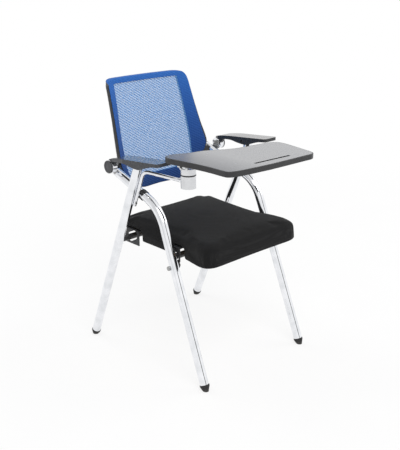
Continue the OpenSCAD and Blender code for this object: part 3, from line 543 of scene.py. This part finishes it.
def front_leg_path(start, end_y):
    """Lower run, bend and upper run of the front leg, drawn in its own leaning plane."""
    lean, upper, splay = math.atan(LEAN), math.atan(UPPER), math.atan(SPLAY)
    low = Vector((math.sin(lean), math.cos(lean)))
    up = Vector((math.cos(upper), math.sin(upper)))
    turn = math.acos(low.dot(up))
    corner = Vector((CORNER_Y, CORNER_Z))
    run = BEND_R * math.tan(turn / 2)
    bend_from, bend_to = corner - low * run, corner + up * run
    centre = bend_from + Vector((low.y, -low.x)) * BEND_R
    arm = bend_from - centre
    foot = Vector((FRONT_FOOT_Y, 0)) + low * start
    end = Vector((end_y, CORNER_Z + UPPER * (end_y - CORNER_Y)))
    pts = [foot.lerp(bend_from, s / RUN_STEPS) for s in range(RUN_STEPS)]
    for s in range(BEND_STEPS + 1):
        a = turn * s / BEND_STEPS
        pts.append(centre + Vector((arm.x * math.cos(a) + arm.y * math.sin(a),
                                    -arm.x * math.sin(a) + arm.y * math.cos(a))))
    pts += [bend_to.lerp(end, s / UPPER_STEPS) for s in range(1, UPPER_STEPS + 1)]
    foot_x = CROSS_X + SPLAY * CROSS_Z
    return [v3(foot_x - p.y * math.sin(splay), p.x, p.y * math.cos(splay)) for p in pts]


def rear_leg_path(start, end):
    lean = math.atan(LEAN)
    span = end - start
    return [v3(REAR_X, REAR_FOOT_Y - math.sin(lean) * s, math.cos(lean) * s)
            for s in (start, start + span / 3, start + span / 1.5, end)]


v, f = sweep(front_leg_path(GLIDE_H, UPPER_END_Y), LEG_R * MM)
left, right = both("leg_front", v, f, chrome, "root")
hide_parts("front_leg_left")
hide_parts("front_leg_right")

# The rear leg ends just short of its pivot
REAR_SHORT = 8
rear_end = REAR_PIVOT_Z / math.cos(math.atan(LEAN)) - REAR_SHORT
v, f = sweep(rear_leg_path(GLIDE_H, rear_end), LEG_R * MM)
left, right = both("leg_rear", v, f, chrome, "rear_frame")
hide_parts("rear_leg_left")
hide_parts("rear_leg_right")

# Ear plate for the armrest pivot: its round top, and its foot on the front leg's upper run
EAR_R, EAR_HALF_W, EAR_DROP, EAR_T = 11, 14, 24, 3
EAR_X = REAR_X - LEG_R - 0.9


def ear_outline():
    lean = math.atan(UPPER)
    y, z = ARM_PIVOT
    pts = [(y + EAR_R * math.cos(math.radians(a)), z + EAR_R * math.sin(math.radians(a)))
           for a in range(0, 181, 12)]
    for dx in (-EAR_HALF_W, EAR_HALF_W):
        pts.append((y + dx * math.cos(lean) + EAR_DROP * math.sin(lean),
                    z + dx * math.sin(lean) - EAR_DROP * math.cos(lean)))
    return pts


v, f = plate(ear_outline(), EAR_X - EAR_T, EAR_T)
for ob in both("pivot_ear", v, f, zinc, "root"):
    bevel(ob, 0.6, 2, CRISP)


# ---------------------------------------------------------------- swivel post and tablet

# The post's axis, its outer radius in the node and as shown, and what the new radius takes
# in: points further out than POST_CORE and below POST_TOP
POST = (-185.0, -112.6)
POST_R, POST_SLIM = 24.5, 22.2
POST_CORE, POST_TOP = 20, 666
# The ring's height in the node and how much higher it sits, and the same for the lower end
RING_LOW, RING_HIGH, RING_RISE = 633.0, 639.0, 8.6
END_BELOW, END_RISE = 603, 3.6


def slim_post(x, y, z):
    """Slimmer walls, a higher ring and a higher lower end than the node's."""
    dx, dy = x - POST[0], y - POST[1]
    if math.hypot(dx, dy) > POST_CORE and z < POST_TOP:
        x, y = POST[0] + dx * POST_SLIM / POST_R, POST[1] + dy * POST_SLIM / POST_R
    if RING_LOW < z < RING_HIGH:
        z += RING_RISE
    elif z < END_BELOW:
        z += END_RISE
    return x, y, z


for node, look, body, slot in (
        ("swivel_sleeve", alloy, "rear_frame", "chrome_rod"),
        ("swivel_ring", black_plastic, "tablet_post", "black_plastic"),
        ("swivel_barrel", alloy, "tablet_post", "chrome_rod")):
    bevel(reworked(node, slim_post, look, body), 0.5, 2, 50)

# The tablet's right end comes in by up to END_CUT, over END_RUN from END_X on. Its front edge
# goes forward by up to FRONT_MORE, over FRONT_RUN from FRONT_Y on, and over SIDE_RUN from
# SIDE_X on, which leaves the corner beside the armrest where it is.
END_CUT, END_X, END_RUN = 18, -100, 250
FRONT_MORE, FRONT_Y, FRONT_RUN = 9, -200, 126
SIDE_X, SIDE_RUN = -225, 150


def tablet_plan(x, y, z):
    """Right end a little shorter, and the front edge further forward past the near corner."""
    forward = clamped((FRONT_Y - y) / FRONT_RUN) * clamped((x - SIDE_X) / SIDE_RUN)
    return x - END_CUT * clamped((x - END_X) / END_RUN), y - FRONT_MORE * forward, z


bevel(reworked("tablet_board", tablet_plan, laminate, "tablet"), 0.3, 3, CAD_CRISP)
bevel(reworked("tablet_edge", tablet_plan, edge_plastic, "tablet"),
      1.2, 3, CAD_CRISP)


# ---------------------------------------------------------------- back

# Half outlines of the back and of its window from top to bottom, as shares of the back's
# half width and height
BACK_OUTLINE = [(0, 1.004), (0.42, 1.004), (0.74, 1.002), (0.822, 0.989), (0.862, 0.955),
                (0.874, 0.91), (0.885, 0.83), (0.907, 0.67), (0.937, 0.5), (0.966, 0.37),
                (0.97, 0.31), (0.915, 0.225), (0.75, 0.11), (0.57, 0.04), (0.4, 0.003), (0, 0)]
BACK_WINDOW = [(0, 0.957), (0.34, 0.957), (0.66, 0.957), (0.698, 0.953), (0.704, 0.92),
               (0.72, 0.81), (0.74, 0.66), (0.757, 0.5), (0.76, 0.375), (0.755, 0.3),
               (0.74, 0.19), (0.695, 0.14), (0.55, 0.122), (0.36, 0.115), (0.18, 0.112),
               (0, 0.11)]
# Tables of a value at each height. Beyond WING_FROM the border turns further forward, by
# the slope WING, over a soft bend.
WING = [(590, 0.0), (640, 0.28), (740, 0.46), (828, 0.44), (870, 0.36)]
WING_FROM = [(583, 141), (644, 145), (740, 141), (828, 133), (870, 131)]
WING_SOFT = 8.0
# Low down the hollow is shallower: by this depth at FLAT_X, and by nothing at FLAT_END
FLATTER = [(520, 0.0), (560, 10.0), (600, 11.0), (640, 8.0), (700, 5.0), (790, 0.0)]
FLAT_X, FLAT_END = 145, 188
# The moulded ring stands out past the cloth along the sides
LIP = [(540, 0.6), (590, 4.4), (660, 5.4), (740, 4.4), (800, 3.0), (838, 1.6), (850, 0.0)]
# The back's middle at the height MID_Z, its lean, and the hollow's depth there and its fall
MID_Z, MID_Y, BACK_LEAN = 630, 253.4, 0.226
HOLLOW, HOLLOW_FALL = 44.0, 0.1304


def lookup(table, at):
    for (a, low), (b, high) in zip(table, table[1:]):
        if at <= b:
            return low + (high - low) * clamped((at - a) / (b - a))
    return table[-1][1]


def back_y(x, z):
    """Where the front of the back lies at this place."""
    hollow = HOLLOW - HOLLOW_FALL * (z - MID_Z)
    out = abs(x) - lookup(WING_FROM, z)
    turn = max(0.0, out) if abs(out) > WING_SOFT else (out + WING_SOFT) ** 2 / (4 * WING_SOFT)
    flat = max(0.0, min((x / FLAT_X) ** 2, (FLAT_END - abs(x)) / (FLAT_END - FLAT_X)))
    return (MID_Y + BACK_LEAN * (z - MID_Z) - hollow * (x / BACK_HALF_W) ** 2
            - lookup(WING, z) * turn + lookup(FLATTER, z) * flat)


def back_loop(shares, steps=6):
    """Whole outline in (x, z) from its right half, given as shares."""
    half = curve_points(shares, steps)
    whole = half + [Vector((-p.x, p.y)) for p in reversed(half[1:-1])]
    return [(BACK_HALF_W * p.x, BACK_LOW + BACK_H * p.y) for p in whole]


def on_back(p, depth):
    return v3(p[0], back_y(p[0], p[1]) + depth, p[1])


def between(a, b, s):
    return (a[0] + (b[0] - a[0]) * s, a[1] + (b[1] - a[1]) * s)


# The cover's hem: its depth at the sides, what is added over HEM_RUN from HEM_Z on, and its
# rows as the share from outline to window, the share of the depth, and more depth
HEM, HEM_MORE, HEM_Z, HEM_RUN = 0.3, 16.9, BACK_H * 0.962, 8
HEM_ROWS = ((0.1, 1, 0.5), (0.03, 1, 0.4), (0.0, 1, 0.1), (0.0, 0.66, 0), (0.0, 0.33, 0),
            (0.0, 0, 0), (0.01, 0, -0.6), (0.03, 0, -1.1))
# The border's rows as shares from outline to window, and how far they stand ahead of the
# ring at both ends, and more in between
BORDER_ROWS = (0.1, 0.22, 0.36, 0.5, 0.64, 0.78, 0.9, 0.985)
BORDER_AHEAD, BORDER_PUFF = 1.2, 0.7
# The window's rings, their middle as a share of the height, how far it stands ahead, and how
# much less the window's edge does
WINDOW_STEPS, WINDOW_MIDDLE = 22, 0.53
MIDDLE_AHEAD, EDGE_LESS = 0.6, 0.4


def back_cover():
    """One sheet: hem behind the ring's edge, border, and the window as rings to its middle."""
    outer, window = back_loop(BACK_OUTLINE), back_loop(BACK_WINDOW)
    n = len(outer)
    middle = (0, BACK_LOW + BACK_H * WINDOW_MIDDLE)
    # the hem covers the whole thickness of the ring along the top, and only its front elsewhere
    hem = [HEM + HEM_MORE * clamped((p[1] - BACK_LOW - HEM_Z) / HEM_RUN) for p in outer]
    rows = [[on_back(between(o, w, share), h * part + more)
             for o, w, h in zip(outer, window, hem)] for share, part, more in HEM_ROWS]
    rows += [[on_back(between(o, w, share),
                      -BORDER_AHEAD - BORDER_PUFF * math.sin(math.pi * share))
              for o, w in zip(outer, window)] for share in BORDER_ROWS]
    closed = len(rows) * n
    for share in (s / WINDOW_STEPS for s in range(WINDOW_STEPS)):
        rows.append([on_back(between(w, middle, share), -MIDDLE_AHEAD + EDGE_LESS * (1 - share))
                     for w in window])
    verts = [p for r in rows for p in r] + [on_back(middle, -MIDDLE_AHEAD)]
    faces = bands(n, len(rows))
    inmost = (len(rows) - 1) * n
    faces += [(inmost + k, inmost + (k + 1) % n, len(verts) - 1) for k in range(n)]
    me = bpy.data.meshes.new("back_cover")
    me.from_pydata([tuple(p) for p in verts], [], faces)
    attribute = me.attributes.new("window", "FLOAT", "POINT")
    for i, mark in enumerate(attribute.data):
        mark.value = 0.0 if i < closed else 1.0
    me.materials.append(mesh_cloth)
    shade_smooth(me)
    ob = linked("back_cover", me)
    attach(ob, "root")
    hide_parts("back_mesh")
    return ob


cover = back_cover()

# The ring's section, as the share from the outline to the window and the depth there
RING_SECTION = [(0.04, 0.9), (0.01, 1.4), (0.0, 2.4), (0.0, 15.2), (0.01, 16.4), (0.06, 17.0),
                (0.3, 17.6), (0.55, 17.2), (0.8, 15.2), (0.94, 11.0), (0.99, 6.0),
                (0.995, 1.6), (0.97, 0.9), (0.78, 0.9), (0.6, 0.9), (0.4, 0.9), (0.2, 0.9)]
# Above this share of the height the ring stays inside the hem, by so much
TOP_SHARE, TOP_INSET = 0.96, 0.6
# Lugs that reach the front legs: places along x, depths, and height of the middle
LUG_X, LUG_DEPTHS, LUG_Z, LUG_HALF_H = (166, 193.2), (2.6, 14.6), 598, 13
BOX_FACES = ((0, 1, 2, 3), (7, 6, 5, 4), (0, 4, 5, 1), (1, 5, 6, 2), (2, 6, 7, 3), (3, 7, 4, 0))


def back_shell():
    """Moulded ring behind the cover, with its lugs."""
    rings = []
    for o, w in zip(back_loop(BACK_OUTLINE), back_loop(BACK_WINDOW)):
        inset = TOP_INSET if o[1] > BACK_LOW + BACK_H * TOP_SHARE else -lookup(LIP, o[1])
        start = inset / math.dist(o, w)
        rings.append([on_back(between(o, w, start + share * (1 - start)), depth)
                      for share, depth in RING_SECTION])
    verts, faces = skin(rings, loop=True)
    near, far = LUG_X
    low, high = LUG_Z - LUG_HALF_H, LUG_Z + LUG_HALF_H
    for side in (-1, 1):
        start = len(verts)
        verts += [on_back((side * x, z), depth) for depth in LUG_DEPTHS
                  for x, z in ((near, low), (far, low), (far, high), (near, high))]
        faces += [tuple(start + i for i in f) for f in BOX_FACES]
    ob = make("back_shell", verts, faces, black_plastic, "root", angle=40)
    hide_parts("back_frame")
    bevel(ob, 0.8, 2, 50)


back_shell()


# ---------------------------------------------------------------- caps of the armrest pivots

# Outer face, thickness and radius of the cap, and the length of the polished collar, which
# covers the boss from HUB_FROM up to the cap
CAP_X, CAP_T, CAP_R, HUB_FROM = 245.4, 5.6, 20.3, 222.9
HUB_L = CAP_X - CAP_T - HUB_FROM
HUB_PROFILE = [(17.2, 0), (19.4, 0), (19.9, 0.6), (19.9, HUB_L - 0.6), (19.4, HUB_L),
               (17.2, HUB_L)]


def cap_profile(r, t):
    return [(r - 3, 0), (r - 0.4, 0), (r, 0.5), (r, t - 1.8), (r - 0.5, t - 0.6), (r - 1.5, t),
            (r - 2.7, t - 0.1), (r - 3.6, t - 0.9), (r - 4.2, t - 1.9), (r - 5.2, t - 2.1),
            (r * 0.45, t - 1.6), (r * 0.2, t - 1.4), (0, t - 1.35)]


v, f = lathe(cap_profile(CAP_R, CAP_T), v3(CAP_X - CAP_T, *ARM_PIVOT))
left, right = both("pivot_cap", v, f, cap_plastic, "arm_right", "arm_left")
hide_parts("arm_cap_left")
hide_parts("arm_cap_right")
v, f = lathe(HUB_PROFILE, v3(HUB_FROM, *ARM_PIVOT))
both("pivot_collar", v, f, chrome, "arm_right", "arm_left")


# ---------------------------------------------------------------- seat cushion

CLOTH_FRAMES = 20


def inflate(ob, hold, cap):
    """Short cloth run with inner pressure. hold(p) is how firmly a point stays, from 0 to 1."""
    scene = bpy.context.scene
    start = [v.co.copy() for v in ob.data.vertices]
    group = ob.vertex_groups.new(name="held")
    for i, p in enumerate(start):
        h = hold(p)
        if h > 0:
            group.add([i], h, "REPLACE")
    m = ob.modifiers.new("cloth", "CLOTH")
    s = m.settings
    s.quality = 5
    s.mass = 0.3
    s.use_pressure = True
    s.uniform_pressure_force = 4.0
    s.tension_stiffness = s.compression_stiffness = 15
    s.bending_stiffness = 2.0
    s.effector_weights.gravity = 0.0
    s.vertex_group_mass = "held"
    m.collision_settings.use_collision = False
    m.point_cache.frame_start, m.point_cache.frame_end = 1, CLOTH_FRAMES
    for frame_number in range(1, CLOTH_FRAMES + 1):
        scene.frame_set(frame_number)
    dg = bpy.context.evaluated_depsgraph_get()
    after = [v.co.copy() for v in ob.evaluated_get(dg).data.vertices]
    ob.modifiers.clear()
    ob.vertex_groups.clear()
    scene.frame_set(1)
    for i, p in enumerate(start):
        step = after[i] - p
        allowed = cap * (1 - hold(p))
        if step.length > allowed:
            step = step.normalized() * allowed if allowed > 0 else Vector()
        ob.data.vertices[i].co = p + step


# The cushion's front, in metres. Its corners of CORNER_R are squared up by CORNER_POWER (2
# leaves them round). Ahead of the legs, at WIDER_FROM, each side goes outwards by up to
# WIDER over WIDER_RUN, and from FORWARD_FROM on the front goes forward by up to FORWARD.
CORNER_R, CORNER_POWER = 46 * MM, 3.4
WIDER, WIDER_FROM, WIDER_RUN = 0.02, -0.078, 0.122
FORWARD, FORWARD_FROM, FORWARD_RUN = 0.015, 0.05, 0.25


def square_corners(ob):
    """Cushion wider ahead of the legs, with its front corners nearly square in plan."""
    low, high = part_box("seat_cushion")
    r, power = CORNER_R, CORNER_POWER
    for vert in ob.data.vertices:
        dx, dy = abs(vert.co.x) - (high.x - r), low.y + r - vert.co.y
        if dx <= 0 or dy <= 0:
            continue
        reach = math.hypot(dx, dy)
        k = 1 / ((dx / reach) ** power + (dy / reach) ** power) ** (1 / power)
        k = 1 + (k - 1) * min(1.0, reach / r) ** 2
        vert.co.x = math.copysign(high.x - r + dx * k, vert.co.x)
        vert.co.y = low.y + r - dy * k
    for vert in ob.data.vertices:
        ahead = clamped((WIDER_FROM - vert.co.y) / WIDER_RUN)
        vert.co.x *= 1 + WIDER / high.x * ahead
        vert.co.y -= FORWARD * clamped((FORWARD_FROM - vert.co.y) / FORWARD_RUN)


# In metres: the cushion's skirts, the height below which its inside is held, the height over
# which the hold on the skirts' lower edge (up to EDGE_HOLD) is let go, the size of the pad's
# mesh, and how far the pad may swell. In mm: how much smaller the pad starts all round.
SKIRT_T, INNER_H, EDGE_H, EDGE_HOLD = 9 * MM, 50 * MM, 12 * MM, 0.9
VOXEL, SWELL, SHRINK = 5 * MM, 6 * MM, 2.5


def seat_pad():
    me = nodes["seat_cushion"].data.copy()
    clean(me, CAD_SAME_POINT)
    ob = linked("seat_pad", me)
    square_corners(ob)
    m = ob.modifiers.new("remesh", "REMESH")
    m.mode, m.voxel_size, m.use_smooth_shade = "VOXEL", VOXEL, True
    apply_all(ob)
    low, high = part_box("seat_cushion")
    half_w, mid_y, half_l = high.x, (low.y + high.y) / 2, (high.y - low.y) / 2

    def inner(p):
        """Whether a point is inside the skirts and under the board, so on no outer face."""
        inside = abs(p.x) < half_w - SKIRT_T and abs(p.y - mid_y) < half_l - SKIRT_T
        return inside and p.z < low.z + INNER_H

    def hold(p):
        if inner(p):
            return 1.0
        return clamped(1 - (p.z - low.z) / EDGE_H) * EDGE_HOLD

    # the pad swells, so it starts a little smaller
    for vert in ob.data.vertices:
        if not inner(vert.co):
            vert.co -= vert.normal * SHRINK * MM
    inflate(ob, hold, SWELL)
    m = ob.modifiers.new("even", "SMOOTH")
    m.factor, m.iterations = 0.5, 4
    m = ob.modifiers.new("finer", "SUBSURF")
    m.levels = m.render_levels = 1
    apply_all(ob)
    ob.data.materials.clear()
    ob.data.materials.append(seat_cloth)
    shade_smooth(ob.data)
    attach(ob, "seat")
    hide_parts("seat_cushion")


seat_pad()


# ---------------------------------------------------------------- finishes of the CAD nodes

FINISH = {
    "front_leg_left": chrome, "front_leg_right": chrome,
    "rear_leg_left": chrome, "rear_leg_right": chrome,
    "front_cross_tube": black_steel, "rear_cross_tube": black_steel,
    "frame_end_plugs": black_plastic, "stop_clips": black_plastic,
    "front_glide_right": rubber, "front_glide_left": rubber,
    "rear_glide_right": rubber, "rear_glide_left": rubber,
    "back_frame": black_plastic, "back_mesh": mesh_cloth, "back_screws": zinc,
    # the far armrest takes the darker copy of the plastic, a painted shade
    "armrest_right": arm_plastic, "armrest_left": shaded_far_plastic,
    "arm_cap_right": cap_plastic, "arm_cap_left": cap_plastic,
    "arm_pin_right": zinc, "arm_pin_left": zinc, "arm_pivot_pins": zinc,
    "rear_leg_eyes": black_plastic, "seat_pivot_bolts": zinc,
    "tablet_rod": rod_chrome, "rod_bolt": zinc,
    "swivel_sleeve": alloy, "swivel_ring": black_plastic,
    "swivel_barrel": alloy, "swivel_shaft": zinc,
    "tablet_hinge_pin": zinc, "tablet_hinge_leaf": black_steel, "tablet_screws": zinc,
    "tablet_board": laminate, "tablet_edge": edge_plastic,
    "seat_cushion": seat_cloth, "seat_board": plywood, "seat_screws": zinc,
    "seat_front_brackets": black_steel, "seat_rear_brackets": black_steel,
}
# Rounding of the edges of the CAD nodes that stay in view, in mm
ROUND = {
    "armrest_left": 2.6, "armrest_right": 2.6,
    "front_glide_left": 0.8, "front_glide_right": 0.8,
    "rear_glide_left": 0.8, "rear_glide_right": 0.8,
    "seat_front_brackets": 0.5, "seat_rear_brackets": 0.5, "seat_board": 0.6,
    "tablet_hinge_leaf": 0.4, "stop_clips": 0.6, "frame_end_plugs": 0.6,
    "arm_pivot_pins": 0.5, "seat_pivot_bolts": 0.6,
}
for name, ob in nodes.items():
    ob.data.materials.clear()
    ob.data.materials.append(FINISH[name])
    if ob.hide_render:
        continue
    shade_smooth(ob.data)
    weld(ob)
    if name in ROUND:
        bevel(ob, ROUND[name], 3, CAD_CRISP)
    ob.modifiers.new("normals", "WEIGHTED_NORMAL").keep_sharp = True


# ---------------------------------------------------------------- room, light and camera

# What polished metal sees round the room, as (share of a turn, brightness): pale walls with
# two dark uprights
WALLS = [(0.0, 0.75), (0.10, 1.0), (0.2, 1.05), (0.235, 0.95), (0.25, 0.05), (0.27, 0.05),
         (0.29, 1.0), (0.4, 1.05), (0.5, 1.0), (0.62, 0.95), (0.72, 0.95), (0.745, 0.15),
         (0.765, 0.15), (0.79, 0.95), (1.0, 0.75)]
WHITE = (1, 1, 1, 1)


def studio():
    """White where it is seen, WALLS in reflections, and an even light on everything else."""
    world = bpy.data.worlds.new("studio")
    world.use_nodes = True
    bpy.context.scene.world = world
    world.node_tree.nodes.clear()
    k = Nodes(world.node_tree)
    way = k.node("ShaderNodeTexCoord").outputs["Generated"]
    turn = k.maths("ARCTAN2", k.part(way, "Y"), k.part(way, "X"))
    walls = k.ramp(k.spread(turn, -math.pi, math.pi, 0.0, 1.0),
                   *((place, (level, level, level, 1)) for place, level in WALLS),
                   interpolation="EASE")
    path = k.node("ShaderNodeLightPath").outputs
    light = k.mixed_shaders(path["Is Glossy Ray"], k.background(WHITE, 0.62),
                            k.background(walls, 1.0))
    seen = k.maths("MAXIMUM", path["Is Camera Ray"], path["Is Transmission Ray"])
    k.feed(k.mixed_shaders(seen, light, k.background(WHITE, 1.0)),
           k.node("ShaderNodeOutputWorld").inputs[0])


# Half width of the floor in metres. Up to NEAR metres from the middle it keeps its shadow,
# under this share of plain white, and from AWAY on it is as white as the room.
FLOOR_HALF = 9.0
NEAR, AWAY, NEAR_WHITE = 0.7, 2.6, 0.8


def floor():
    me = bpy.data.meshes.new("floor")
    s = FLOOR_HALF
    me.from_pydata([(-s, -s, 0), (s, -s, 0), (s, s, 0), (-s, s, 0)], [], [(0, 1, 2, 3)])
    k = Look("floor_paper", rough=0.9)
    k.put("Base Color", k.ramp(k.noise(3, 2), (0.3, (0.86, 0.86, 0.86, 1)),
                               (0.7, (0.9, 0.9, 0.9, 1))))
    k.put("Specular IOR Level", 0.0)
    path = k.node("ShaderNodeLightPath").outputs
    seen = k.maths("MAXIMUM", path["Is Camera Ray"], path["Is Glossy Ray"])
    length = k.node("ShaderNodeVectorMath", operation="LENGTH")
    k.feed(k.at, length.inputs[0])
    share = k.spread(length.outputs["Value"], NEAR, AWAY, NEAR_WHITE, 1.0)
    glow = k.node("ShaderNodeEmission").outputs[0]
    k.surface(k.mixed_shaders(k.maths("MULTIPLY", seen, share), k.shader.outputs[0], glow))
    me.materials.append(k.mat)
    linked("floor", me)


def lamp(name, place, aim, size, power):
    data = bpy.data.lights.new(name, "AREA")
    data.shape, data.size, data.energy = "DISK", size, power
    ob = linked(name, data)
    ob.location = place
    ob.rotation_euler = (Vector(aim) - Vector(place)).to_track_quat("-Z", "Y").to_euler()


studio()
floor()
lamp("key", (-1.2, -2.4, 3.4), (0, 0, 0.5), 2.6, 70)
lamp("fill", (2.6, -1.2, 2.2), (0, 0, 0.5), 2.2, 26)
lamp("back_light", (-0.6, 2.8, 2.6), (0, 0, 0.6), 2.2, 30)

# Fitted to the feet, the pivots and the top of the back in the photo
camera = linked("camera", bpy.data.cameras.new("camera"))
camera.location = (-1.6056, -1.6730, 1.2417)
camera.rotation_euler = (math.radians(70.45), 0.0, math.radians(-43.22))
camera.data.lens = 61.44
camera.data.sensor_width = 36.0
bpy.context.scene.camera = camera
bpy.context.scene.view_settings.view_transform = "Standard"

bpy.context.view_layer.update()
